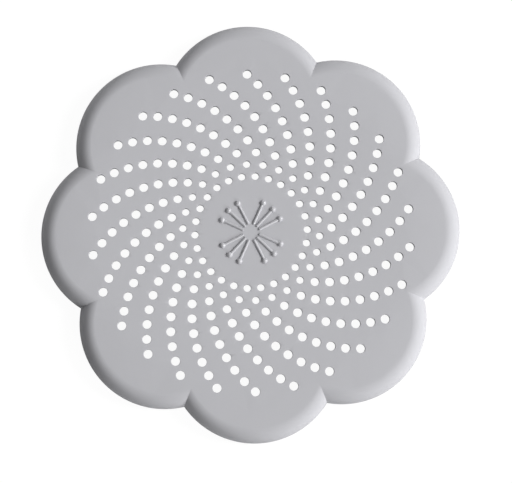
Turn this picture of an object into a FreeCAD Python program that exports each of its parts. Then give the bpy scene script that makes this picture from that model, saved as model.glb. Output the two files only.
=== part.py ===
import FreeCAD, Part
import math
import os
import Sketcher

# Flower-shaped sink strainer: one moulded perforated cover that stands on eight soft suction cups.
#
# Frame: millimetres, +Z up. The origin is under the middle of the cover, in the plane that the lips of
# the suction cups stand on. Petal 1 and suction cup 1 lie on +X, and both count anticlockwise from above.

SIZES = (
    ("overall_width", 145.0, "from the tip of one petal to the tip of the petal opposite"),
    ("petal_count", 8, "petals round the cover, each with a suction cup under it"),
    ("petal_radius", 29.45, "radius of the circle that one petal is part of"),
    ("rim_gap", 0.8, "gap below the rim while the cups stand free, and how far they give way"),
    ("rim_height", 7.0, "from the lower edge of the rim to the flat top"),
    ("rim_round", 5.6, "radius of the turned-down edge"),
    ("wall", 2.0, "thickness of the plate and of the rim"),
    ("dish_radius", 57.0, "radius of the shallow dish that holds the drain holes"),
    ("dish_depth", 1.3, "how far the middle of the dish lies below the flat top"),
    ("arm_count", 26, "curved rows of drain holes"),
    ("arm_holes", 10, "drain holes in one row"),
    ("arm_curve_radius", 44.0, "radius of the arc that one row follows"),
    ("arm_curve_offset", 36.2, "from the middle of the cover to the middle of that arc"),
    ("first_hole_radius", 19.4, "from the middle of the cover to the first hole of a row"),
    ("first_hole_angle", 1.35, "degrees from +X to the first hole of the first row"),
    ("hole_pitch", 5.115, "from one hole to the next in a row"),
    ("hole_diameter", 3.1, "drain holes from the fourth in a row outwards"),
    ("third_hole_diameter", 2.9, "the third drain hole of a row"),
    ("inner_hole_diameter", 2.5, "the first two drain holes of a row"),
    ("stamen_groups", 4, "fans of three stamens, evenly spaced, the first half a step from +X"),
    ("stamen_fan_back", 1.2, "from the point that a fan spreads from to the middle of the cover"),
    ("stamen_spread", 19.3, "degrees from one stamen of a fan to the next"),
    ("stamen_start", 3.95, "from the point that a fan spreads from to where a stamen starts"),
    ("stamen_ball_place", 12.0, "from the point that a fan spreads from to the ball of a stamen"),
    ("stamen_width", 1.0, "width of the half-round ridge"),
    ("stamen_ball_diameter", 1.85, "width of the ball at its end"),
    ("cup_place_radius", 63.0, "from the middle of the cover to the middle of a suction cup"),
    ("cup_diameter", 10.4, "outer width of the lip of a cup"),
    ("cup_lip_width", 0.5, "width of the flat ring that a cup stands on"),
    ("cup_lip_thickness", 0.3, "thickness of the lip at its edge"),
    ("cup_wall", 0.9, "thickness of the bell, measured upright"),
    ("cup_stub_diameter", 4.8, "the solid stub between the bell and the boss"),
    ("cup_slope", 40.0, "degrees between the side of the bell and the sink floor"),
    ("neck_diameter", 2.6, "neck of a cup, inside the mouth of its socket"),
    ("button_diameter", 4.2, "button at the top of a cup, held in its socket"),
    ("button_height", 1.1, "thickness of that button"),
    ("button_chamfer", 0.4, "bevel round the top of the button"),
    ("boss_wall", 1.3, "wall of the boss round its socket"),
    ("socket_lip", 1.0, "thickness of the ring that holds the button in"),
    ("socket_lead", 0.3, "bevel round the mouth of the socket"),
    ("socket_clearance", 0.1, "gap between a cup and its socket on every side"),
)

# Levels above the sink floor and places from the middle, worked out from the sizes above.
RIM_EDGE = "Sizes.rim_gap"
TOP = "Sizes.rim_gap + Sizes.rim_height"
UNDERSIDE = TOP + " - Sizes.wall"
MID_WALL = TOP + " - Sizes.wall / 2"
DISH_FLOOR = TOP + " - Sizes.dish_depth"
DISH_CURVE = "(Sizes.dish_radius ^ 2 + Sizes.dish_depth ^ 2) / (2 * Sizes.dish_depth)"
PETAL_PLACE = "Sizes.overall_width / 2 - Sizes.petal_radius"
SOCKET_FLOOR = UNDERSIDE + " - Sizes.button_height - 2 * Sizes.socket_clearance"
BOSS_FACE = SOCKET_FLOOR + " - Sizes.socket_lip"
CUP_SHOULDER = BOSS_FACE + " - Sizes.socket_clearance"
BUTTON_LOW = SOCKET_FLOOR + " + Sizes.socket_clearance"
BUTTON_TOP = BUTTON_LOW + " + Sizes.button_height"

SMALL_HOLES = 2
FULL_TURN = 360.0


def make_sheet(doc):
    """Fill the spreadsheet that every feature takes its sizes from."""
    sheet = doc.addObject("Spreadsheet::Sheet", "Sizes")
    for row, (name, value, meaning) in enumerate(SIZES, start=1):
        sheet.set(f"A{row}", name)
        sheet.set(f"B{row}", str(value))
        sheet.set(f"C{row}", meaning)
        sheet.setAlias(f"B{row}", name)
    doc.recompute()
    return sheet


def value_of(sheet, expression):
    """Work out an expression of the sheet's sizes as a plain number."""
    return float(sheet.evalExpression(expression))


def origin_feature(body, role):
    """Find one of the body's own origin planes or axes."""
    return next(item for item in body.Origin.OriginFeatures if item.Role == role)


def new_sketch(body, name, role, out="0", up="0"):
    """Attach a sketch to an origin plane, moved out along X and up along Z."""
    sketch = body.newObject("Sketcher::SketchObject", name)
    sketch.AttachmentSupport = [(origin_feature(body, role), "")]
    sketch.MapMode = "FlatFace"
    sketch.setExpression(".AttachmentOffset.Base.x", out)
    sketch.setExpression(".AttachmentOffset.Base." + ("y" if role == "XZ_Plane" else "z"), up)
    return sketch


def turn_upright_sketch(sketch, angle):
    """Turn a sketch that stands on the XZ plane about the Z axis through its own origin."""
    any_angle = 1.0
    upright = FreeCAD.Vector(0, 1, 0)
    turned = FreeCAD.Placement(sketch.AttachmentOffset.Base, FreeCAD.Rotation(upright, any_angle))
    sketch.AttachmentOffset = turned
    sketch.setExpression(".AttachmentOffset.Rotation.Angle", angle)


def dimension(sketch, expression, number, *constraint):
    """Add a dimension to a sketch and bind it to the sheet."""
    index = sketch.addConstraint(Sketcher.Constraint(*constraint, number))
    sketch.setExpression(f"Constraints[{index}]", expression)


def arc_between(start, end, radius):
    """Return the arc that turns left, less than half a turn, from start to end."""
    chord = end - start
    middle = (start + end) * 0.5
    left = FreeCAD.Vector(-chord.y, chord.x, 0).normalize()
    centre = middle + left * math.sqrt(radius ** 2 - (chord.Length / 2) ** 2)
    first = math.atan2(start.y - centre.y, start.x - centre.x)
    last = math.atan2(end.y - centre.y, end.x - centre.x)
    circle = Part.Circle(centre, FreeCAD.Vector(0, 0, 1), radius)
    return Part.ArcOfCircle(circle, first, last)


def draw_profile(sketch, sheet, corners):
    """Draw a closed profile anticlockwise through its corners, each an (x, y) pair of expressions.

    A corner with a third entry starts an arc of that radius, and any other a straight line.
    """
    points = [FreeCAD.Vector(value_of(sheet, x), value_of(sheet, y), 0) for x, y, *_ in corners]
    for index, corner in enumerate(corners):
        start, end = points[index], points[(index + 1) % len(points)]
        if len(corner) == 3:
            radius = value_of(sheet, corner[2])
            edge = sketch.addGeometry(arc_between(start, end, radius))
            dimension(sketch, corner[2], radius, "Radius", edge)
        else:
            edge = sketch.addGeometry(Part.LineSegment(start, end))
        if corner[0] == "0":
            sketch.addConstraint(Sketcher.Constraint("PointOnObject", edge, 1, -2))
        else:
            dimension(sketch, corner[0], start.x, "DistanceX", -1, 1, edge, 1)
        if corner[1] == "0":
            sketch.addConstraint(Sketcher.Constraint("PointOnObject", edge, 1, -1))
        else:
            dimension(sketch, corner[1], start.y, "DistanceY", -1, 1, edge, 1)
    for edge in range(len(corners)):
        following = (edge + 1) % len(corners)
        sketch.addConstraint(Sketcher.Constraint("Coincident", edge, 2, following, 1))


def draw_circle(sketch, sheet, diameter):
    """Draw a circle round the sketch's origin."""
    radius = value_of(sheet, diameter) / 2
    circle = sketch.addGeometry(Part.Circle(FreeCAD.Vector(), FreeCAD.Vector(0, 0, 1), radius))
    sketch.addConstraint(Sketcher.Constraint("Coincident", circle, 3, -1, 1))
    dimension(sketch, diameter, 2 * radius, "Diameter", circle)


def revolve(body, kind, name, sketch, axis="V_Axis"):
    """Turn a sketch a full turn about one of its own axes, to add or to cut."""
    feature = body.newObject(kind, name)
    feature.Profile = sketch
    feature.ReferenceAxis = (sketch, [axis])
    feature.Angle = FULL_TURN
    return feature


def extrude(body, kind, name, sketch, length):
    """Extrude a sketch up along Z, to add or to cut."""
    feature = body.newObject(kind, name)
    feature.Profile = sketch
    feature.setExpression("Length", length)
    feature.Reversed = kind == "PartDesign::Pocket"
    return feature


def repeat_round(body, name, features, count):
    """Repeat features at even steps about the Z axis."""
    pattern = body.newObject("PartDesign::PolarPattern", name)
    pattern.Originals = features
    pattern.Axis = (origin_feature(body, "Z_Axis"), [""])
    pattern.Angle = FULL_TURN
    pattern.setExpression("Occurrences", count)
    body.Tip = pattern
    return pattern


def add_petals(body, sheet):
    """The outer form: a disc with a petal on each side, every petal rounded over at its edge."""
    profile = new_sketch(body, "PetalProfile", "XZ_Plane", out=PETAL_PLACE)
    draw_profile(profile, sheet, (
        ("0", RIM_EDGE),
        ("Sizes.petal_radius", RIM_EDGE),
        ("Sizes.petal_radius", TOP + " - Sizes.rim_round", "Sizes.rim_round"),
        ("Sizes.petal_radius - Sizes.rim_round", TOP),
        ("0", TOP),
    ))
    petal = revolve(body, "PartDesign::Revolution", "Petal", profile)
    repeat_round(body, "Petals", [petal], "Sizes.petal_count")
    outline = new_sketch(body, "MiddleOutline", "XY_Plane", up=RIM_EDGE)
    draw_circle(outline, sheet, f"2 * ({PETAL_PLACE})")
    extrude(body, "PartDesign::Pad", "Middle", outline, "Sizes.rim_height")


def hollow_underside(body, sheet):
    """The underside: the outer form again, one wall thickness smaller and open below."""
    inner_round = "Sizes.rim_round - Sizes.wall"
    inner_radius = "Sizes.petal_radius - Sizes.wall"
    profile = new_sketch(body, "PetalHollowProfile", "XZ_Plane", out=PETAL_PLACE)
    draw_profile(profile, sheet, (
        ("0", "0"),
        (inner_radius, "0"),
        (inner_radius, f"{UNDERSIDE} - ({inner_round})", inner_round),
        (f"{inner_radius} - ({inner_round})", UNDERSIDE),
        ("0", UNDERSIDE),
    ))
    hollow = revolve(body, "PartDesign::Groove", "PetalHollow", profile)
    repeat_round(body, "PetalHollows", [hollow], "Sizes.petal_count")
    outline = new_sketch(body, "MiddleHollowOutline", "XY_Plane")
    draw_circle(outline, sheet, f"2 * ({PETAL_PLACE})")
    extrude(body, "PartDesign::Pocket", "MiddleHollow", outline, UNDERSIDE)


def sink_dish(body, sheet):
    """The shallow round dish: the underside swells down and the top is cut to match."""
    swell = new_sketch(body, "DishSwellProfile", "XZ_Plane")
    draw_profile(swell, sheet, (
        ("0", UNDERSIDE + " - Sizes.dish_depth", DISH_CURVE),
        ("Sizes.dish_radius", UNDERSIDE),
        ("Sizes.dish_radius", MID_WALL),
        ("0", MID_WALL),
    ))
    revolve(body, "PartDesign::Revolution", "DishSwell", swell)
    cut = new_sketch(body, "DishCutProfile", "XZ_Plane")
    draw_profile(cut, sheet, (
        ("0", DISH_FLOOR, DISH_CURVE),
        ("Sizes.dish_radius", TOP),
        ("Sizes.dish_radius", TOP + " + Sizes.wall"),
        ("0", TOP + " + Sizes.wall"),
    ))
    revolve(body, "PartDesign::Groove", "DishCut", cut)


def add_sockets(body, sheet):
    """A boss under each petal, with the blind socket that takes the button of a suction cup."""
    cavity = "Sizes.button_diameter / 2 + Sizes.socket_clearance"
    mouth = "Sizes.neck_diameter / 2 + Sizes.socket_clearance"
    outline = new_sketch(body, "BossOutline", "XY_Plane", out="Sizes.cup_place_radius", up=BOSS_FACE)
    draw_circle(outline, sheet, f"2 * ({cavity} + Sizes.boss_wall)")
    boss = extrude(body, "PartDesign::Pad", "Boss", outline, f"{MID_WALL} - ({BOSS_FACE})")
    profile = new_sketch(body, "SocketProfile", "XZ_Plane", out="Sizes.cup_place_radius")
    draw_profile(profile, sheet, (
        ("0", "0"),
        (mouth + " + Sizes.socket_lead", "0"),
        (mouth + " + Sizes.socket_lead", BOSS_FACE),
        (mouth, BOSS_FACE + " + Sizes.socket_lead"),
        (mouth, SOCKET_FLOOR),
        (cavity, SOCKET_FLOOR),
        (cavity, UNDERSIDE),
        ("0", UNDERSIDE),
    ))
    socket = revolve(body, "PartDesign::Groove", "Socket", profile)
    repeat_round(body, "Sockets", [boss, socket], "Sizes.petal_count")


def arm_points(sheet):
    """Work out where the holes of the first arm lie, and the middle of the arc they follow.

    The middle of the cover, the middle of the arc and a hole form a triangle with known sides.
    """
    curve = value_of(sheet, "Sizes.arm_curve_radius")
    offset = value_of(sheet, "Sizes.arm_curve_offset")
    first = value_of(sheet, "Sizes.first_hole_radius")
    first_angle = math.radians(value_of(sheet, "Sizes.first_hole_angle"))
    step = 2 * math.asin(value_of(sheet, "Sizes.hole_pitch") / (2 * curve))
    at_middle = math.acos((offset ** 2 + first ** 2 - curve ** 2) / (2 * offset * first))
    at_arc = math.acos((curve ** 2 + offset ** 2 - first ** 2) / (2 * curve * offset))
    direction = first_angle + at_middle
    centre = FreeCAD.Vector(offset * math.cos(direction), offset * math.sin(direction), 0)
    holes = []
    for index in range(round(value_of(sheet, "Sizes.arm_holes"))):
        turn = direction + math.pi + at_arc + index * step
        holes.append(centre + FreeCAD.Vector(math.cos(turn), math.sin(turn), 0) * curve)
    return centre, holes


def hole_size(index):
    """The first two holes of an arm are small, the third is wider, and the rest are full size."""
    if index < SMALL_HOLES:
        return "Sizes.inner_hole_diameter"
    if index == SMALL_HOLES:
        return "Sizes.third_hole_diameter"
    return "Sizes.hole_diameter"


def draw_arm(sketch, sheet):
    """Draw one row of holes at an even pitch along a construction arc."""
    normal = FreeCAD.Vector(0, 0, 1)
    centre, holes = arm_points(sheet)
    curve_radius = value_of(sheet, "Sizes.arm_curve_radius")
    curve = sketch.addGeometry(Part.Circle(centre, normal, curve_radius), True)
    spoke = sketch.addGeometry(Part.LineSegment(FreeCAD.Vector(), holes[0]), True)
    dimension(sketch, "Sizes.arm_curve_radius", curve_radius, "Radius", curve)
    dimension(sketch, "Sizes.arm_curve_offset", centre.Length, "Distance", -1, 1, curve, 3)
    sketch.addConstraint(Sketcher.Constraint("Coincident", spoke, 1, -1, 1))
    dimension(sketch, "Sizes.first_hole_radius", holes[0].Length, "Distance", spoke)
    angle = math.radians(value_of(sheet, "Sizes.first_hole_angle"))
    dimension(sketch, "Sizes.first_hole_angle * 1 deg", angle, "Angle", -1, 1, spoke, 1)
    previous = None
    for index, place in enumerate(holes):
        diameter = value_of(sheet, hole_size(index))
        hole = sketch.addGeometry(Part.Circle(place, normal, diameter / 2))
        dimension(sketch, hole_size(index), diameter, "Diameter", hole)
        sketch.addConstraint(Sketcher.Constraint("PointOnObject", hole, 3, curve))
        if previous is None:
            sketch.addConstraint(Sketcher.Constraint("Coincident", hole, 3, spoke, 2))
        else:
            pitch = value_of(sheet, "Sizes.hole_pitch")
            dimension(sketch, "Sizes.hole_pitch", pitch, "Distance", previous, 3, hole, 3)
        previous = hole


def cut_drain_holes(body, sheet):
    """The drain holes: one curved row cut through the dish, then repeated round it."""
    row = new_sketch(body, "ArmOfHoles", "XY_Plane")
    draw_arm(row, sheet)
    arm = extrude(body, "PartDesign::Pocket", "Arm", row, TOP + " + Sizes.wall")
    repeat_round(body, "Arms", [arm], "Sizes.arm_count")


def add_stamens(body, sheet):
    """The raised stamens in the middle: half-round ridges that end in balls, three to a fan.

    A fan spreads from a point a little behind the middle of the cover, seen from its stamens.
    """
    half = "Sizes.stamen_width / 2"
    ball = "Sizes.stamen_ball_diameter / 2"
    neck = f"sqrt(({ball}) ^ 2 - ({half}) ^ 2)"
    fan_angle = "180 deg / Sizes.stamen_groups"
    stamens = []
    for number, side in enumerate((-1, 0, 1), start=1):
        profile = new_sketch(
            body, f"StamenProfile{number}", "XZ_Plane",
            out=f"-Sizes.stamen_fan_back * cos({fan_angle})", up=DISH_FLOOR)
        profile.setExpression(".AttachmentOffset.Base.z", f"Sizes.stamen_fan_back * sin({fan_angle})")
        turn_upright_sketch(profile, f"{fan_angle} + {side} * Sizes.stamen_spread * 1 deg")
        draw_profile(profile, sheet, (
            ("Sizes.stamen_start", "0"),
            (f"Sizes.stamen_ball_place + {ball}", "0", ball),
            (f"Sizes.stamen_ball_place - {neck}", half),
            ("Sizes.stamen_start", half),
        ))
        stamens.append(revolve(body, "PartDesign::Revolution", f"Stamen{number}", profile, "H_Axis"))
    repeat_round(body, "Stamens", stamens, "Sizes.stamen_groups")


def make_cover(doc, sheet):
    """The perforated cover, moulded in one piece."""
    body = doc.addObject("PartDesign::Body", "perforated_cover")
    body.Label = "perforated_cover"
    add_petals(body, sheet)
    hollow_underside(body, sheet)
    sink_dish(body, sheet)
    add_sockets(body, sheet)
    add_stamens(body, sheet)
    cut_drain_holes(body, sheet)
    return body


def make_cup(doc, sheet, number):
    """A soft suction cup: lip and bell, stub, neck, and the button that its socket holds."""
    body = doc.addObject("PartDesign::Body", f"suction_cup_{number}")
    body.Label = f"suction_cup_{number}"
    lip = "Sizes.cup_diameter / 2"
    lip_inside = lip + " - Sizes.cup_lip_width"
    stub = "Sizes.cup_stub_diameter / 2"
    bell_top = f"({lip} - {stub}) * tan(Sizes.cup_slope * 1 deg) + Sizes.cup_lip_thickness"
    roof = bell_top + " - Sizes.cup_wall"
    roof_edge = f"{lip_inside} - ({roof}) / tan(Sizes.cup_slope * 1 deg)"
    profile = new_sketch(body, f"CupProfile{number}", "XZ_Plane")
    draw_profile(profile, sheet, (
        ("0", roof),
        (roof_edge, roof),
        (lip_inside, "0"),
        (lip, "0"),
        (lip, "Sizes.cup_lip_thickness"),
        (stub, bell_top),
        (stub, CUP_SHOULDER),
        ("Sizes.neck_diameter / 2", CUP_SHOULDER),
        ("Sizes.neck_diameter / 2", BUTTON_LOW),
        ("Sizes.button_diameter / 2", BUTTON_LOW),
        ("Sizes.button_diameter / 2", BUTTON_TOP + " - Sizes.button_chamfer"),
        ("Sizes.button_diameter / 2 - Sizes.button_chamfer", BUTTON_TOP),
        ("0", BUTTON_TOP),
    ))
    revolve(body, "PartDesign::Revolution", f"Cup{number}", profile)
    angle = f"{number - 1} * 360 deg / Sizes.petal_count"
    body.setExpression("Placement.Base.x", f"Sizes.cup_place_radius * cos({angle})")
    body.setExpression("Placement.Base.y", f"Sizes.cup_place_radius * sin({angle})")
    return body


def check_and_write(doc, bodies):
    """Write each piece to its own file, once every object of the document has proved sound."""
    doc.recompute()
    for item in doc.Objects:
        if "Invalid" in item.State or "Error" in item.State:
            raise RuntimeError(f"{item.Name} failed: {item.State}")
    for body in bodies:
        if body.Shape.isNull() or not body.Shape.isValid() or len(body.Shape.Solids) != 1:
            raise RuntimeError(f"{body.Label} is not one sound solid")
    os.makedirs("parts", exist_ok=True)
    for body in bodies:
        body.Shape.exportStep(f"parts/{body.Label}.step")
        print(f"{body.Label}: {body.Shape.Volume:.1f} mm3")


def main():
    doc = FreeCAD.newDocument("SinkStrainer")
    sheet = make_sheet(doc)
    bodies = [make_cover(doc, sheet)]
    for number in range(1, round(value_of(sheet, "Sizes.petal_count")) + 1):
        bodies.append(make_cup(doc, sheet, number))
    check_and_write(doc, bodies)


main()
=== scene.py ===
# Studio scene of a flower-shaped sink strainer: a perforated cover on eight suction cups.
# Metres, +Z up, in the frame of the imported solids: the cups stand on z = 0 and petal 1 lies on +X.

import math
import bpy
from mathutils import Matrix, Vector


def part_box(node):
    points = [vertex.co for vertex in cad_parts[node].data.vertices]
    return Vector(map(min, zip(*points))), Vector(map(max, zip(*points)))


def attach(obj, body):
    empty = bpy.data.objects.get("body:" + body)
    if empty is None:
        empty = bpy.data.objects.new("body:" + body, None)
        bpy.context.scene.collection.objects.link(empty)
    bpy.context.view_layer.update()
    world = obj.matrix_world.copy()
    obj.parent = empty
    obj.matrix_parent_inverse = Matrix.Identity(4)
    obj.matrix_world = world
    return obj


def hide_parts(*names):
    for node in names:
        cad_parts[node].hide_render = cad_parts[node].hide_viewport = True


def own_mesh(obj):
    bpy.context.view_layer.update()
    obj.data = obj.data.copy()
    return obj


bl_info = {
    "name": "Flower sink strainer",
    "version": (1, 0, 0),
    "blender": (4, 5, 0),
    "location": "View3D > Sidebar > Strainer",
    "description": "Builds a perforated, flower-shaped sink strainer with its suction cups",
    "category": "Add Mesh",
}

import bmesh
import bpy
from bpy.props import FloatProperty, FloatVectorProperty, IntProperty, PointerProperty
from bpy.types import Operator, Panel, PropertyGroup
from mathutils import Matrix, Vector
from mathutils.geometry import delaunay_2d_cdt

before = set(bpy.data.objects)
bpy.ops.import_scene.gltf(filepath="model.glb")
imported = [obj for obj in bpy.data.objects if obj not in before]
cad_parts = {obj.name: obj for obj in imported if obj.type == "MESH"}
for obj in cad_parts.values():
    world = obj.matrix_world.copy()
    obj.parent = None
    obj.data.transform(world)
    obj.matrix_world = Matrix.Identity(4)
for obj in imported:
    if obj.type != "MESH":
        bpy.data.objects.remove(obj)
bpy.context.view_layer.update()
COVER_LOW, COVER_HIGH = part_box("perforated_cover")
CUP_LOW, CUP_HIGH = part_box("suction_cup_1")

MM = 0.001


def srgb(text):
    """Turn an sRGB hex colour into the linear values that Blender works in."""
    values = [int(text[start:start + 2], 16) / 255 for start in (0, 2, 4)]
    return tuple(v / 12.92 if v <= 0.04045 else ((v + 0.055) / 1.055) ** 2.4 for v in values)


def length(name, description, default):
    """A size in metres that the sidebar shows in the scene's unit of length."""
    return FloatProperty(name=name, description=description, default=default, unit="LENGTH", precision=5)


def angle(name, description, degrees):
    """An angle that the sidebar shows in degrees."""
    return FloatProperty(name=name, description=description, default=math.radians(degrees), unit="ROTATION")


def share(name, description, part):
    """A part of a whole, from 0 to 1."""
    return FloatProperty(name=name, description=description, default=part, min=0, max=1)


class CoverSizes(PropertyGroup):
    """Sizes of the moulded cover."""

    width: length("Width", "From petal tip to opposite petal tip", COVER_HIGH.x - COVER_LOW.x)
    rim_edge: length("Rim edge", "Height of the lower edge of the rim", COVER_LOW.z)
    flat_top: length("Flat top", "Height of the flat band inside the rim", COVER_HIGH.z)
    petals: IntProperty(name="Petals", description="Petals round the cover", default=8, min=3)
    petal_radius: length("Petal radius", "Radius of one petal's circle", 29.45 * MM)
    rim_round: length("Rim round", "Radius of the turned-down edge", 5.6 * MM)
    wall: length("Wall", "Thickness of the plate and the rim", 2.0 * MM)
    edge_round: length("Edge round", "Radius on the lower edges of the rim", 0.3 * MM)
    dish_radius: length("Dish radius", "Radius of the shallow dish", 57.0 * MM)
    dish_depth: length("Dish depth", "Depth of the dish at its middle", 1.3 * MM)
    dish_blend: length("Dish blend", "Half the width over which the dish runs into the flat", 2.4 * MM)


class HoleSizes(PropertyGroup):
    """Sizes and places of the drain holes."""

    arms: IntProperty(name="Rows", description="Curved rows of holes", default=26, min=1)
    arm_holes: IntProperty(name="Holes in a row", description="Holes in one row", default=10, min=1)
    curve_radius: length("Row curve", "Radius of the arc that a row follows", 44.0 * MM)
    curve_offset: length("Row curve offset", "From the cover's middle to the arc's middle", 36.2 * MM)
    first_radius: length("First hole", "From the cover's middle to the first hole", 19.4 * MM)
    first_angle: angle("First hole angle", "From +X to the first hole of the first row", 1.35)
    pitch: length("Pitch", "From one hole to the next in a row", 5.115 * MM)
    diameter: length("Hole width", "Holes from the fourth in a row outwards", 3.1 * MM)
    third_diameter: length("Third hole width", "The third hole of a row", 2.9 * MM)
    inner_diameter: length("Inner hole width", "The first two holes of a row", 2.5 * MM)
    edge_round: length("Hole edge round", "Radius on the edges of a hole", 0.12 * MM)


class StamenSizes(PropertyGroup):
    """Sizes of the raised stamens in the middle of the cover."""

    groups: IntProperty(name="Fans", description="Fans of three stamens", default=4, min=1)
    fan_back: length("Fan back", "From the point that a fan spreads from to the cover's middle", 1.2 * MM)
    spread: angle("Spread", "From one stamen of a fan to the next", 19.3)
    start: length("Start", "From the fan's point to the start of a stamen", 3.95 * MM)
    ball_place: length("Ball place", "From the fan's point to the ball of a stamen", 12.0 * MM)
    thickness: length("Width", "Width of the half-round ridge", 1.0 * MM)
    ball_diameter: length("Ball width", "Width of the ball at the end", 2.0 * MM)
    ball_height: length("Ball height", "How far the flattened ball stands up from the plate", 0.8 * MM)


class CupSizes(PropertyGroup):
    """Sizes of the suction cups and their sockets."""

    place: length("Place", "From the cover's middle to a cup", (CUP_LOW.x + CUP_HIGH.x) / 2)
    diameter: length("Width", "Outer width of the lip", CUP_HIGH.x - CUP_LOW.x)
    button_top: length("Button top", "Height of the top of the button", CUP_HIGH.z)
    lip_width: length("Lip width", "Width of the ring that the cup stands on", 0.5 * MM)
    lip_thickness: length("Lip thickness", "Thickness of the lip at its edge", 0.3 * MM)
    hollow_height: length("Hollow height", "Height of the hollow in the bell", 1.75 * MM)
    bell_height: length("Bell height", "Height at which the bell meets its stub", 2.65 * MM)
    stub_diameter: length("Stub width", "Width of the stub over the bell", 4.8 * MM)
    neck_diameter: length("Neck width", "Width of the neck in the socket's mouth", 2.6 * MM)
    button_diameter: length("Button width", "Width of the button in the socket", 4.2 * MM)
    button_height: length("Button height", "Thickness of the button", 1.1 * MM)
    socket_lip: length("Socket ring", "Thickness of the ring that holds the button", 1.0 * MM)
    boss_wall: length("Boss wall", "Wall of the boss round its socket", 1.3 * MM)
    clearance: length("Clearance", "Gap between a cup and its socket", 0.1 * MM)
    travel: length("Travel", "How far a cup gives way before the rim touches", COVER_LOW.z)


class Colours(PropertyGroup):
    """Colours of the two plastics and of the floor."""

    cover: FloatVectorProperty(
        name="Cover", description="Light grey of the moulded cover",
        subtype="COLOR", size=3, default=srgb("B9B9BD"), min=0, max=1)
    cups: FloatVectorProperty(
        name="Cups", description="Milky clear of the soft cups",
        subtype="COLOR", size=3, default=srgb("E3E8E9"), min=0, max=1)
    floor: FloatVectorProperty(
        name="Floor", description="Colour that the floor returns as light",
        subtype="COLOR", size=3, default=srgb("D0D0D0"), min=0, max=1)


class StudioSettings(PropertyGroup):
    """Where the camera and the three softboxes stand."""

    view_azimuth: angle("View azimuth", "Direction of the camera, from -Y towards +X", -14.0)
    view_elevation: angle("View elevation", "Height of the camera above the horizon", 84.5)
    view_roll: angle("View roll", "Turn of the camera about its own axis", 12.5)
    view_distance: length("View distance", "From the camera to the flat top", 624.0 * MM)
    aim_right: length("Aim right", "How far right of the middle the camera aims", 1.60 * MM)
    aim_down: length("Aim down", "How far below the middle the camera aims", 3.35 * MM)
    lens: FloatProperty(name="Lens", description="Focal length", default=127.7, unit="CAMERA")
    key_azimuth: angle("Key azimuth", "Direction of the main softbox, from +X", 4.0)
    key_elevation: angle("Key elevation", "Height of the main softbox above the horizon", 33.0)
    key_distance: length("Key distance", "From the object to the main softbox", 1.6)
    key_size: length("Key size", "Width of the main softbox", 0.7)
    key_share: share("Key share", "Part of the light on the flat top that the main softbox gives", 0.60)
    low_azimuth: angle("Low azimuth", "Direction of the low softbox, from +X", -56.0)
    low_elevation: angle("Low elevation", "Height of the low softbox above the horizon", 22.0)
    low_distance: length("Low distance", "From the object to the low softbox", 1.6)
    low_size: length("Low size", "Width of the low softbox", 0.8)
    low_share: share("Low share", "Part of the light on the flat top that the low softbox gives", 0.17)
    back_azimuth: angle("Back azimuth", "Direction of the back softbox, from +X", 102.0)
    back_elevation: angle("Back elevation", "Height of the back softbox above the horizon", 25.0)
    back_distance: length("Back distance", "From the object to the back softbox", 1.6)
    back_size: length("Back size", "Width of the back softbox", 0.9)
    back_share: share("Back share", "Part of the light on the flat top that the back softbox gives", 0.09)


class StrainerSettings(PropertyGroup):
    """Everything that the sidebar shows."""

    cover: PointerProperty(type=CoverSizes)
    holes: PointerProperty(type=HoleSizes)
    stamens: PointerProperty(type=StamenSizes)
    cups: PointerProperty(type=CupSizes)
    colours: PointerProperty(type=Colours)
    studio: PointerProperty(type=StudioSettings)


# Mesh code shared by the pieces

# How finely the curves are divided: along a petal, over the rounds, and round each kind of circle.
PETAL_STEPS = 64
ROUND_STEPS = 14
INNER_ROUND_STEPS = 8
EDGE_STEPS = 3
HOLE_STEPS = 28
BOSS_STEPS = 32
LATHE_STEPS = 64
STAMEN_STEPS = 20

# The loose points of the plate: their spacing, and how far they stay off every hole and boss.
FILL_SPACING = 3.0 * MM
FILL_CLEARANCE = 0.9 * MM


class Draft:
    """The corners and faces of a piece while they are worked out."""

    def __init__(self):
        self.corners = []
        self.faces = []

    def add(self, points):
        """Add corners and return their numbers."""
        first = len(self.corners)
        self.corners.extend(Vector(point) for point in points)
        return list(range(first, len(self.corners)))

    def bridge(self, ring, following):
        """Join two closed rings of as many corners with four-sided faces."""
        for index, corner in enumerate(ring):
            after = (index + 1) % len(ring)
            self.faces.append((corner, ring[after], following[after], following[index]))

    def bridge_all(self, rings):
        """Join each ring to the next."""
        for ring, following in zip(rings, rings[1:]):
            self.bridge(ring, following)

    def fan(self, ring, point):
        """Close a ring with three-sided faces that meet at a point."""
        tip, = self.add([point])
        for index, corner in enumerate(ring):
            self.faces.append((corner, ring[(index + 1) % len(ring)], tip))

    def lathe(self, profile, steps, place):
        """Turn (radius, height) pairs about Z into a closed body, and move it with a matrix.

        The first and the last pair lie on the axis.
        """
        rings = []
        for radius, height in profile[1:-1]:
            rings.append(self.add(place @ point for point in circle(radius, height, steps)))
        self.bridge_all(rings)
        self.fan(rings[0], place @ Vector((0, 0, profile[0][1])))
        self.fan(rings[-1], place @ Vector((0, 0, profile[-1][1])))

    def make(self, name, material):
        """Turn the draft into an object with outward faces and smooth shading."""
        mesh = bpy.data.meshes.new(name)
        mesh.from_pydata(self.corners, [], self.faces)
        solid = bmesh.new()
        solid.from_mesh(mesh)
        bmesh.ops.recalc_face_normals(solid, faces=solid.faces)
        solid.to_mesh(mesh)
        solid.free()
        mesh.polygons.foreach_set("use_smooth", [True] * len(mesh.polygons))
        mesh.materials.append(material)
        piece = bpy.data.objects.new(name, mesh)
        bpy.context.scene.collection.objects.link(piece)
        return piece


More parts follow.
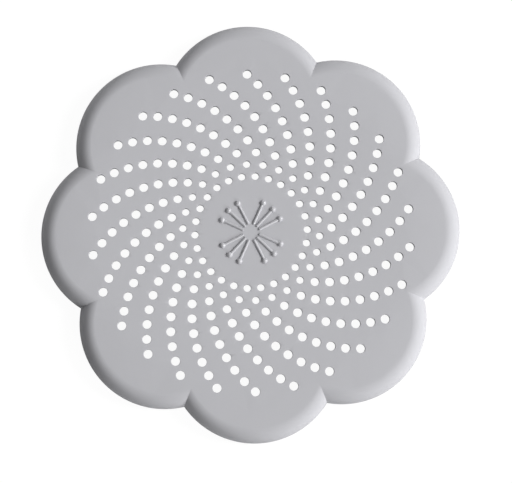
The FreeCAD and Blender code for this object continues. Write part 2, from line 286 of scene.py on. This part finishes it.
def circle(radius, height, steps, middle=(0.0, 0.0)):
    """Points of a level circle."""
    points = []
    for step in range(steps):
        turn = math.tau * step / steps
        x, y = middle[0] + radius * math.cos(turn), middle[1] + radius * math.sin(turn)
        points.append(Vector((x, y, height)))
    return points


def arc(middle, radius, start, end, steps):
    """(radius, height) pairs along an arc between two angles in degrees, ends included."""
    pairs = []
    for step in range(steps + 1):
        turn = math.radians(start + (end - start) * step / steps)
        pairs.append((middle[0] + radius * math.cos(turn), middle[1] + radius * math.sin(turn)))
    return pairs


# The perforated cover

def petal_place(size):
    """From the middle of the cover to the middle of a petal."""
    return size.width / 2 - size.petal_radius


def petal_ring(size, radius, height):
    """One closed line round all the petals, at one distance from the middle of each."""
    place = petal_place(size)
    half_step = math.pi / size.petals
    notch = place * math.cos(half_step) + math.sqrt(radius ** 2 - (place * math.sin(half_step)) ** 2)
    swing = math.atan2(notch * math.sin(half_step), notch * math.cos(half_step) - place)
    points = []
    for petal in range(size.petals):
        turn = Matrix.Rotation(2 * half_step * petal, 3, "Z")
        for step in range(PETAL_STEPS):
            direction = swing * (2 * step / PETAL_STEPS - 1)
            x = place + radius * math.cos(direction)
            points.append(turn @ Vector((x, radius * math.sin(direction), height)))
    return points


def rim_profile(size):
    """(distance from a petal's middle, height) pairs from the flat top round the rim to the underside."""
    outer, inner = size.petal_radius, size.petal_radius - size.wall
    inner_round = size.rim_round - size.wall
    underside = size.flat_top - size.wall
    edge = size.edge_round
    low = size.rim_edge + edge
    pairs = arc((outer - size.rim_round, size.flat_top - size.rim_round), size.rim_round, 90, 0, ROUND_STEPS)
    pairs += arc((outer - edge, low), edge, 0, -90, EDGE_STEPS)
    pairs += arc((inner + edge, low), edge, -90, -180, EDGE_STEPS)
    pairs += arc((inner - inner_round, underside - inner_round), inner_round, 0, 90, INNER_ROUND_STEPS)
    return pairs


def dish_drop(size, point):
    """How far the dish lies below the flat top at a point: a shallow bowl that runs out smoothly."""
    distance = math.hypot(point[0], point[1])
    inner_end, outer_end = size.dish_radius - size.dish_blend, size.dish_radius + size.dish_blend
    slope = 2 * size.dish_depth / size.dish_radius
    if distance >= outer_end:
        return 0.0
    if distance > inner_end:
        return slope * (outer_end - distance) ** 2 / (4 * size.dish_blend)
    bowl = size.dish_depth * (1 - (distance / size.dish_radius) ** 2)
    level_at_blend = size.dish_depth * (1 - (inner_end / size.dish_radius) ** 2)
    return bowl - level_at_blend + slope * size.dish_blend


def hole_places(holes):
    """(middle, radius) of every drain hole.

    The middle of the cover, the middle of a row's arc and a hole form a triangle with known sides.
    """
    curve, offset, first = holes.curve_radius, holes.curve_offset, holes.first_radius
    step = 2 * math.asin(holes.pitch / (2 * curve))
    at_middle = math.acos((offset ** 2 + first ** 2 - curve ** 2) / (2 * offset * first))
    at_arc = math.acos((curve ** 2 + offset ** 2 - first ** 2) / (2 * curve * offset))
    widths = [holes.inner_diameter] * 2 + [holes.third_diameter]
    widths += [holes.diameter] * (holes.arm_holes - len(widths))
    places = []
    for arm in range(holes.arms):
        direction = holes.first_angle + at_middle + math.tau * arm / holes.arms
        centre = Vector((math.cos(direction), math.sin(direction))) * offset
        for index, width in enumerate(widths):
            turn = direction + math.pi + at_arc + index * step
            places.append((centre + Vector((math.cos(turn), math.sin(turn))) * curve, width / 2))
    return places


def cup_places(size, cups):
    """The middle of every suction cup and boss, anticlockwise from +X."""
    turns = [math.tau * number / size.petals for number in range(size.petals)]
    return [Vector((cups.place * math.cos(turn), cups.place * math.sin(turn))) for turn in turns]


def fill_points(size, circles):
    """Loose points between the holes, on a grid of even triangles, to keep the faces well shaped."""
    reach = petal_place(size)
    row_height = FILL_SPACING * math.sqrt(3) / 2
    rows = int(reach / row_height)
    columns = int(reach / FILL_SPACING)
    points = []
    for row in range(-rows, rows + 1):
        for column in range(-columns, columns + 1):
            point = Vector(((column + 0.5 * (row % 2)) * FILL_SPACING, row * row_height))
            clear = all((point - middle).length > radius + FILL_CLEARANCE for middle, radius in circles)
            if clear and point.length < reach:
                points.append(point)
    return points


def plate_layout(size, outline, loops, loose):
    """Divide the plate into triangles between its outline and the closed loops in it.

    Returns the triangles as numbers into outline, loops and loose points taken together, each
    with the number of the loop that it lies inside, or None.
    """
    merge_distance = 1e-6
    points, edges, owner = [], [], []
    for number, loop in enumerate([outline] + loops):
        first = len(points)
        points.extend(Vector((point[0] / MM, point[1] / MM)) for point in loop)
        edges.extend((first + index, first + (index + 1) % len(loop)) for index in range(len(loop)))
        owner.extend([number] * len(loop))
    points.extend(point / MM for point in loose)
    owner.extend([None] * len(loose))
    found, _, faces, origins, _, _ = delaunay_2d_cdt(points, edges, [], 0, merge_distance)
    if len(found) != len(points):
        raise RuntimeError("the holes, bosses and outline of the plate touch each other")
    place = petal_place(size) / MM
    reach = (size.petal_radius - size.rim_round) / MM
    middles = [Vector((place, 0))]
    middles += [Matrix.Rotation(math.tau * n / size.petals, 2) @ middles[0] for n in range(1, size.petals)]
    triangles = []
    for face in faces:
        numbers = [origins[corner][0] for corner in face]
        centre = sum((points[number] for number in numbers), Vector((0, 0))) / 3
        # A triangle that fills the notch between two petals lies outside the cover.
        if centre.length > place and min((centre - middle).length for middle in middles) > reach:
            continue
        owners = {owner[number] for number in numbers}
        inside = owners.pop() if len(owners) == 1 else None
        triangles.append((numbers, inside if inside else None))
    return triangles


def add_shaft(draft, middle, radius, rounding, top_ring, bottom_ring, top, bottom):
    """Line a hole from its ring on the top to its ring on the underside, with rounded edges."""
    pairs = arc((radius + rounding, top - rounding), rounding, 90, 180, EDGE_STEPS)[1:]
    pairs += arc((radius + rounding, bottom + rounding), rounding, 180, 270, EDGE_STEPS)[:-1]
    rings = [draft.add(circle(wide, height, HOLE_STEPS, middle)) for wide, height in pairs]
    draft.bridge_all([top_ring] + rings + [bottom_ring])


def add_boss(draft, middle, ring, size, cups):
    """Hang a boss with its blind socket on its ring of the underside."""
    roof = size.flat_top - size.wall
    socket_floor = roof - cups.button_height - 2 * cups.clearance
    face = socket_floor - cups.socket_lip
    cavity = cups.button_diameter / 2 + cups.clearance
    mouth = cups.neck_diameter / 2 + cups.clearance
    outer = cavity + cups.boss_wall
    edge = size.edge_round
    pairs = arc((outer - edge, face + edge), edge, 0, -90, EDGE_STEPS)
    pairs += [(mouth + edge, face), (mouth, face + edge), (mouth, socket_floor)]
    pairs += [(cavity, socket_floor), (cavity, roof)]
    rings = [draft.add(circle(wide, height, BOSS_STEPS, middle)) for wide, height in pairs]
    draft.bridge_all([ring] + rings)
    draft.fan(rings[-1], (middle.x, middle.y, roof))


def add_plate_and_rim(draft, size, holes, cups):
    """The moulding itself: plate, drain holes, rim, bosses and sockets, as one closed skin."""
    top, underside = size.flat_top, size.flat_top - size.wall
    profile = rim_profile(size)
    outline = petal_ring(size, profile[0][0], top)
    drains = hole_places(holes)
    boss_radius = cups.button_diameter / 2 + cups.clearance + cups.boss_wall
    bosses = cup_places(size, cups)
    loops = [circle(radius + holes.edge_round, top, HOLE_STEPS, middle) for middle, radius in drains]
    loops += [circle(boss_radius, top, BOSS_STEPS, middle) for middle in bosses]
    loose = fill_points(size, drains + [(middle, boss_radius) for middle in bosses])
    flat_points = outline + [point for loop in loops for point in loop] + loose
    upper = draft.add((point[0], point[1], top) for point in flat_points)
    lower = draft.add((point[0], point[1], underside) for point in flat_points)
    for numbers, inside in plate_layout(size, outline, loops, loose):
        if inside is None or inside > len(drains):
            draft.faces.append(tuple(upper[number] for number in numbers))
        if inside is None:
            draft.faces.append(tuple(lower[number] for number in reversed(numbers)))
    first = len(outline)
    for middle, radius in drains:
        span = slice(first, first + HOLE_STEPS)
        add_shaft(draft, middle, radius, holes.edge_round, upper[span], lower[span], top, underside)
        first += HOLE_STEPS
    for middle in bosses:
        add_boss(draft, middle, lower[first:first + BOSS_STEPS], size, cups)
        first += BOSS_STEPS
    rings = [draft.add(petal_ring(size, radius, height)) for radius, height in profile[1:-1]]
    draft.bridge_all([upper[:len(outline)]] + rings + [lower[:len(outline)]])


def add_stamens(draft, size, stamens):
    """The raised stamens: each a half-round ridge that ends in a flattened ball, half sunk in the plate.

    Three of them fan out from a point a little behind the middle of the cover.
    """
    half, ball = stamens.thickness / 2, stamens.ball_diameter / 2
    end_round = half / 6
    round_middle = (stamens.start + end_round, half - end_round)
    ridge = [(0.0, stamens.start)]
    ridge += [(radius, height) for height, radius in arc(round_middle, end_round, 180, 90, EDGE_STEPS)]
    ridge += [(half, stamens.ball_place), (0.0, stamens.ball_place)]
    tip = arc((0.0, 0.0), ball, -90, 90, ROUND_STEPS)
    flatten = Matrix.Diagonal((1, 1, stamens.ball_height / ball, 1))
    lay_down = Matrix.Rotation(math.pi / 2, 4, "Y")
    for group in range(stamens.groups):
        fan_turn = Matrix.Rotation(math.tau * (group + 0.5) / stamens.groups, 4, "Z")
        fan = fan_turn @ Matrix.Translation((-stamens.fan_back, 0, size.flat_top))
        for side in (-1, 0, 1):
            place = fan @ Matrix.Rotation(side * stamens.spread, 4, "Z")
            draft.lathe(ridge, STAMEN_STEPS, place @ lay_down)
            draft.lathe(tip, STAMEN_STEPS, place @ Matrix.Translation((stamens.ball_place, 0, 0)) @ flatten)


def mark_notch_creases(mesh, size):
    """Keep the valley where two petals meet crisp, by marking its edges sharp."""
    half_step = math.pi / size.petals
    reach = petal_place(size)
    tolerance = 0.02 * MM

    def in_valley(point):
        distance = math.hypot(point.x, point.y)
        turn = math.atan2(point.y, point.x) % (2 * half_step)
        return distance > reach and abs(distance * math.sin(turn - half_step)) < tolerance

    for edge in mesh.edges:
        if all(in_valley(mesh.vertices[index].co) for index in edge.vertices):
            edge.use_edge_sharp = True


class STRAINER_OT_add_cover(Operator):
    """Add the moulded cover with its petals, drain holes, stamens, bosses and sockets"""

    bl_idname = "strainer.add_cover"
    bl_label = "Add perforated cover"

    def execute(self, context):
        settings = context.scene.strainer
        draft = Draft()
        add_plate_and_rim(draft, settings.cover, settings.holes, settings.cups)
        first_stamen_face = len(draft.faces)
        add_stamens(draft, settings.cover, settings.stamens)
        for corner in draft.corners:
            corner.z -= dish_drop(settings.cover, corner)
        cover = draft.make("cover_moulding", moulded_polypropylene(settings.colours))
        cover.data.materials.append(polished_polypropylene(settings.colours))
        for face in cover.data.polygons[first_stamen_face:]:
            face.material_index = 1
        mark_notch_creases(cover.data, settings.cover)
        even_shading = cover.modifiers.new("even_shading", "WEIGHTED_NORMAL")
        even_shading.keep_sharp = True
        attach(cover, "cover")
        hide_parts("perforated_cover")
        return {"FINISHED"}


# The suction cups

# The outside of a bell is a curve from its lip to its stub, drawn towards a point that lies this
# share of the way out from the stub to the lip, and this share of the way up from the lip.
BULGE_OUT = 0.62
BULGE_UP = 0.75


def bell_profile(cups, shoulder):
    """(radius, height) pairs of the bell: down its hollow, out over the lip and up to the stub."""
    lip, stub = cups.diameter / 2, cups.stub_diameter / 2
    hollow_edge = lip - cups.lip_width
    dome = (hollow_edge ** 2 + cups.hollow_height ** 2) / (2 * cups.hollow_height)
    half_angle = math.degrees(math.asin(hollow_edge / dome))
    pairs = arc((0.0, cups.hollow_height - dome), dome, 90, 90 - half_angle, ROUND_STEPS)
    edge = cups.lip_thickness / 2
    pairs += arc((lip - edge, edge), edge, -90, 60, EDGE_STEPS * 2)
    start, end = Vector((lip - edge / 2, cups.lip_thickness)), Vector((stub, cups.bell_height))
    bulge = Vector((stub + (lip - stub) * BULGE_OUT, start.y + (end.y - start.y) * BULGE_UP))
    for step in range(1, ROUND_STEPS + 1):
        along = step / ROUND_STEPS
        point = start * (1 - along) ** 2 + bulge * 2 * along * (1 - along) + end * along ** 2
        pairs.append((point.x, point.y))
    pairs += arc((stub - edge, shoulder - edge), edge, 0, 90, EDGE_STEPS)
    pairs.append((0.0, shoulder))
    return pairs


def button_profile(cups, shoulder):
    """(radius, height) pairs of the neck and the button that the socket holds."""
    neck, button = cups.neck_diameter / 2, cups.button_diameter / 2
    low = cups.button_top - cups.button_height
    top_round = cups.button_height / 3
    bevel = top_round / 3
    pairs = [(0.0, shoulder), (neck, shoulder), (neck, low)]
    pairs += [(button - bevel, low), (button, low + bevel)]
    pairs += arc((button - top_round, cups.button_top - top_round), top_round, 0, 90, EDGE_STEPS * 2)
    pairs.append((0.0, cups.button_top))
    return pairs


class STRAINER_OT_add_cups(Operator):
    """Add the soft suction cups, each a bell and a button that stays in its socket"""

    bl_idname = "strainer.add_cups"
    bl_label = "Add suction cups"

    def execute(self, context):
        settings = context.scene.strainer
        cups = settings.cups
        vinyl = moulded_soft_vinyl(settings.colours)
        shoulder = cups.button_top - cups.button_height - cups.socket_lip - 2 * cups.clearance
        for number, middle in enumerate(cup_places(settings.cover, cups), start=1):
            place = Matrix.Translation((middle.x, middle.y, 0))
            bell_draft = Draft()
            bell_draft.lathe(bell_profile(cups, shoulder), LATHE_STEPS, place)
            bell = bell_draft.make(f"cup_bell_{number}", vinyl)
            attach(bell, f"cup_{number}")
            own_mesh(bell)
            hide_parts(f"suction_cup_{number}")
            button_draft = Draft()
            button_draft.lathe(button_profile(cups, shoulder), LATHE_STEPS, place)
            button = button_draft.make(f"cup_button_{number}", vinyl)
            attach(button, "cover")
        return {"FINISHED"}


# Materials

# The numbers of the Mix node's sockets that take and give colours, because their names are shared.
FIRST_COLOUR, SECOND_COLOUR, MIXED_COLOUR = 6, 7, 2

# Light goes a short way into both finishes of the cover's plastic and comes out again.
POLYPROPYLENE_DEPTH = {
    "Subsurface Weight": 0.05,
    "Subsurface Radius": (1.0, 1.0, 1.0),
    "Subsurface Scale": 0.4 * MM,
}


def add_node(tree, kind, settings=None, inputs=None):
    """Add a node, set its own settings, and give its inputs values or links."""
    node = tree.nodes.new(kind)
    for name, value in (settings or {}).items():
        setattr(node, name, value)
    for name, value in (inputs or {}).items():
        if isinstance(value, bpy.types.NodeSocket):
            tree.links.new(value, node.inputs[name])
        else:
            node.inputs[name].default_value = value
    return node


def new_material(name):
    """An empty node material, with the sockets that every pattern here is measured from."""
    material = bpy.data.materials.new(name)
    material.use_nodes = True
    tree = material.node_tree
    tree.nodes.clear()
    place = add_node(tree, "ShaderNodeTexCoord").outputs["Object"]
    return material, tree, place


def tinted(colour, change):
    """A colour made lighter by a part of itself, or darker where the change is below 0, with full alpha."""
    return tuple(min(1.0, value * (1 + change)) for value in colour) + (1.0,)


def moulded_polypropylene(colours):
    """Satin injection-moulded polypropylene.

    A dense, even light grey with a soft broad sheen. A fine spark-eroded grain from the mould
    breaks the sheen up, and the cooled plastic is very slightly uneven in tone.
    """
    material, tree, place = new_material("moulded_polypropylene_satin")
    grain_size = 0.4 * MM  # the real grain is about 0.1 mm, drawn coarser so that it shows
    patch_size = 14 * MM
    grain = add_node(tree, "ShaderNodeTexNoise", {}, {
        "Vector": place, "Scale": 1 / grain_size, "Detail": 2.0, "Roughness": 0.6})
    patches = add_node(tree, "ShaderNodeTexNoise", {}, {
        "Vector": place, "Scale": 1 / patch_size, "Detail": 3.0, "Roughness": 0.5})
    tone = add_node(tree, "ShaderNodeMix", {"data_type": "RGBA"}, {
        "Factor": patches.outputs["Fac"],
        FIRST_COLOUR: tinted(colours.cover, -0.015),
        SECOND_COLOUR: tinted(colours.cover, 0.015)})
    sheen = add_node(tree, "ShaderNodeMapRange", {}, {
        "Value": grain.outputs["Fac"], "To Min": 0.78, "To Max": 0.90})
    bump = add_node(tree, "ShaderNodeBump", {}, {
        "Height": grain.outputs["Fac"], "Distance": 0.01 * MM, "Strength": 0.5})
    shader = add_node(tree, "ShaderNodeBsdfPrincipled", {}, {
        "Base Color": tone.outputs[MIXED_COLOUR],
        "Roughness": sheen.outputs["Result"],
        "Normal": bump.outputs["Normal"],
        "IOR": 1.49,
        **POLYPROPYLENE_DEPTH})
    add_node(tree, "ShaderNodeOutputMaterial", {}, {"Surface": shader.outputs["BSDF"]})
    return material


def polished_polypropylene(colours):
    """The same polypropylene where the mould was engraved and polished.

    The stamens come out of polished grooves, where the melt sets with a glossy skin, so they carry
    a soft bright streak of light that the grained plate round them lacks. The coat is that skin,
    and the IOR is a little over polypropylene's 1.49, matched to how bright the streak is.
    """
    material, tree, place = new_material("moulded_polypropylene_polished")
    ripple_size = 0.8 * MM
    ripple = add_node(tree, "ShaderNodeTexNoise", {}, {
        "Vector": place, "Scale": 1 / ripple_size, "Detail": 1.0, "Roughness": 0.5})
    gloss = add_node(tree, "ShaderNodeMapRange", {}, {
        "Value": ripple.outputs["Fac"], "To Min": 0.35, "To Max": 0.40})
    shader = add_node(tree, "ShaderNodeBsdfPrincipled", {}, {
        "Base Color": tinted(colours.cover, 0),
        "Roughness": gloss.outputs["Result"],
        "IOR": 1.6,
        "Coat Weight": 0.5,
        "Coat Roughness": 0.35,
        **POLYPROPYLENE_DEPTH})
    add_node(tree, "ShaderNodeOutputMaterial", {}, {"Surface": shader.outputs["BSDF"]})
    return material


def moulded_soft_vinyl(colours):
    """Soft injection-moulded vinyl.

    Milky and half clear, with a smooth wet-looking gloss that a faint haze dulls in patches.
    """
    material, tree, place = new_material("moulded_soft_vinyl_milky")
    haze_size = 2.5 * MM
    haze = add_node(tree, "ShaderNodeTexNoise", {}, {
        "Vector": place, "Scale": 1 / haze_size, "Detail": 3.0, "Roughness": 0.55})
    tone = add_node(tree, "ShaderNodeMix", {"data_type": "RGBA"}, {
        "Factor": haze.outputs["Fac"],
        FIRST_COLOUR: tinted(colours.cups, -0.03),
        SECOND_COLOUR: tinted(colours.cups, 0.03)})
    gloss = add_node(tree, "ShaderNodeMapRange", {}, {
        "Value": haze.outputs["Fac"], "To Min": 0.16, "To Max": 0.30})
    shader = add_node(tree, "ShaderNodeBsdfPrincipled", {}, {
        "Base Color": tone.outputs[MIXED_COLOUR],
        "Roughness": gloss.outputs["Result"],
        "IOR": 1.53,
        "Transmission Weight": 0.45})
    add_node(tree, "ShaderNodeOutputMaterial", {}, {"Surface": shader.outputs["BSDF"]})
    return material


def painted_floor(colours):
    """A matt pale floor that the camera and glass see as white, and that keeps a faint shadow."""
    material, tree, _ = new_material("floor_paint_matt")
    seen_glow, seen_paint = 0.955, 0.075
    path = add_node(tree, "ShaderNodeLightPath")
    seen = add_node(tree, "ShaderNodeMath", {"operation": "MAXIMUM"}, {
        0: path.outputs["Is Camera Ray"], 1: path.outputs["Is Transmission Ray"]})
    glow = add_node(tree, "ShaderNodeEmission", {}, {"Color": (1, 1, 1, 1), "Strength": seen_glow})
    thin_paint = add_node(tree, "ShaderNodeBsdfDiffuse", {}, {
        "Color": (seen_paint, seen_paint, seen_paint, 1)})
    white = add_node(tree, "ShaderNodeAddShader", {}, {
        0: glow.outputs["Emission"], 1: thin_paint.outputs["BSDF"]})
    paint = add_node(tree, "ShaderNodeBsdfDiffuse", {}, {"Color": tuple(colours.floor) + (1.0,)})
    front = add_node(tree, "ShaderNodeMixShader", {}, {
        0: seen.outputs["Value"], 1: paint.outputs["BSDF"], 2: white.outputs["Shader"]})
    side = add_node(tree, "ShaderNodeNewGeometry")
    clear = add_node(tree, "ShaderNodeBsdfTransparent")
    both = add_node(tree, "ShaderNodeMixShader", {}, {
        0: side.outputs["Backfacing"], 1: front.outputs["Shader"], 2: clear.outputs["BSDF"]})
    add_node(tree, "ShaderNodeOutputMaterial", {}, {"Surface": both.outputs["Shader"]})
    return material


# The stage

def add_floor(colours):
    """A wide level floor under the cups."""
    reach = 3.0
    draft = Draft()
    corners = [(-reach, -reach, 0), (reach, -reach, 0), (reach, reach, 0), (-reach, reach, 0)]
    draft.faces.append(tuple(draft.add(corners)))
    floor = draft.make("studio_floor", painted_floor(colours))


def add_world(part):
    """Even light from all round, with a white backdrop where the camera looks past the floor."""
    world = bpy.data.worlds.new("studio_surround")
    world.use_nodes = True
    tree = world.node_tree
    tree.nodes.clear()
    path = add_node(tree, "ShaderNodeLightPath")
    seen = add_node(tree, "ShaderNodeMath", {"operation": "MAXIMUM"}, {
        0: path.outputs["Is Camera Ray"], 1: path.outputs["Is Transmission Ray"]})
    strength = add_node(tree, "ShaderNodeMapRange", {}, {
        "Value": seen.outputs["Value"], "To Min": part, "To Max": 1.0})
    background = add_node(tree, "ShaderNodeBackground", {}, {
        "Color": (1, 1, 1, 1), "Strength": strength.outputs["Result"]})
    add_node(tree, "ShaderNodeOutputWorld", {}, {"Surface": background.outputs["Background"]})
    bpy.context.scene.world = world


def add_softbox(name, target, azimuth, level, distance, size, part):
    """A round softbox that gives its part of a plain level of light on a flat top.

    An even surround of strength 1 gives a level surface pi of light. A lamp of P watts gives
    P * sin(level) / (pi * distance ** 2), so its power follows from its part of pi.
    """
    towards = Vector((
        math.cos(level) * math.cos(azimuth), math.cos(level) * math.sin(azimuth), math.sin(level)))
    lamp = bpy.data.lights.new(name, "AREA")
    lamp.shape = "DISK"
    lamp.size = size
    lamp.energy = part * (math.pi * distance) ** 2 / math.sin(level)
    softbox = bpy.data.objects.new(name, lamp)
    softbox.matrix_world = (
        Matrix.Translation(target + towards * distance)
        @ towards.to_track_quat("Z", "Y").to_matrix().to_4x4())
    bpy.context.scene.collection.objects.link(softbox)


def add_camera(studio, target):
    """The camera, nearly straight above the object and a little towards the viewer."""
    level, azimuth = studio.view_elevation, studio.view_azimuth
    back = Vector((
        math.sin(azimuth) * math.cos(level), -math.cos(azimuth) * math.cos(level), math.sin(level)))
    right = Matrix.Rotation(studio.view_roll, 3, back) @ Vector((math.cos(azimuth), math.sin(azimuth), 0))
    up = back.cross(right)
    aim = target + right * studio.aim_right - up * studio.aim_down
    place = target + back * studio.view_distance
    camera_data = bpy.data.cameras.new("camera")
    camera_data.lens = studio.lens
    camera_data.sensor_width = 36.0
    camera_data.sensor_fit = "HORIZONTAL"
    camera = bpy.data.objects.new("camera", camera_data)
    turned = (place - aim).normalized()
    side = up.cross(turned).normalized()
    frame_axes = Matrix((side, turned.cross(side), turned)).transposed()
    camera.matrix_world = Matrix.Translation(place) @ frame_axes.to_4x4()
    bpy.context.scene.collection.objects.link(camera)
    bpy.context.scene.camera = camera


class STRAINER_OT_add_stage(Operator):
    """Add the camera, the floor, the surround and the three softboxes"""

    bl_idname = "strainer.add_stage"
    bl_label = "Add stage"

    def execute(self, context):
        settings = context.scene.strainer
        studio = settings.studio
        target = Vector((0, 0, settings.cover.flat_top))
        add_camera(studio, target)
        add_floor(settings.colours)
        surround_share = 1.0
        for lamp in ("key", "low", "back"):
            azimuth, level, distance, size, part = (
                getattr(studio, f"{lamp}_{value}")
                for value in ("azimuth", "elevation", "distance", "size", "share"))
            add_softbox(f"{lamp}_softbox", target, azimuth, level, distance, size, part)
            surround_share -= part
        add_world(surround_share)
        context.scene.view_settings.view_transform = "Standard"
        return {"FINISHED"}


class STRAINER_PT_sidebar(Panel):
    """Lists the sizes, colours and pieces of the strainer"""

    bl_label = "Flower sink strainer"
    bl_space_type = "VIEW_3D"
    bl_region_type = "UI"
    bl_category = "Strainer"

    def draw(self, context):
        settings = context.scene.strainer
        for group in ("cover", "holes", "stamens", "cups", "colours", "studio"):
            box = self.layout.box()
            box.label(text=group.capitalize())
            values = getattr(settings, group)
            for name in values.__annotations__:
                box.prop(values, name)
        for operator in (STRAINER_OT_add_stage, STRAINER_OT_add_cover, STRAINER_OT_add_cups):
            self.layout.operator(operator.bl_idname)


CLASSES = (
    CoverSizes,
    HoleSizes,
    StamenSizes,
    CupSizes,
    Colours,
    StudioSettings,
    StrainerSettings,
    STRAINER_OT_add_stage,
    STRAINER_OT_add_cover,
    STRAINER_OT_add_cups,
    STRAINER_PT_sidebar,
)


def register():
    for item in CLASSES:
        bpy.utils.register_class(item)
    bpy.types.Scene.strainer = PointerProperty(type=StrainerSettings)


def unregister():
    del bpy.types.Scene.strainer
    for item in reversed(CLASSES):
        bpy.utils.unregister_class(item)


def main():
    register()
    bpy.ops.strainer.add_stage()
    bpy.ops.strainer.add_cover()
    bpy.ops.strainer.add_cups()


if __name__ == "__main__":
    main()
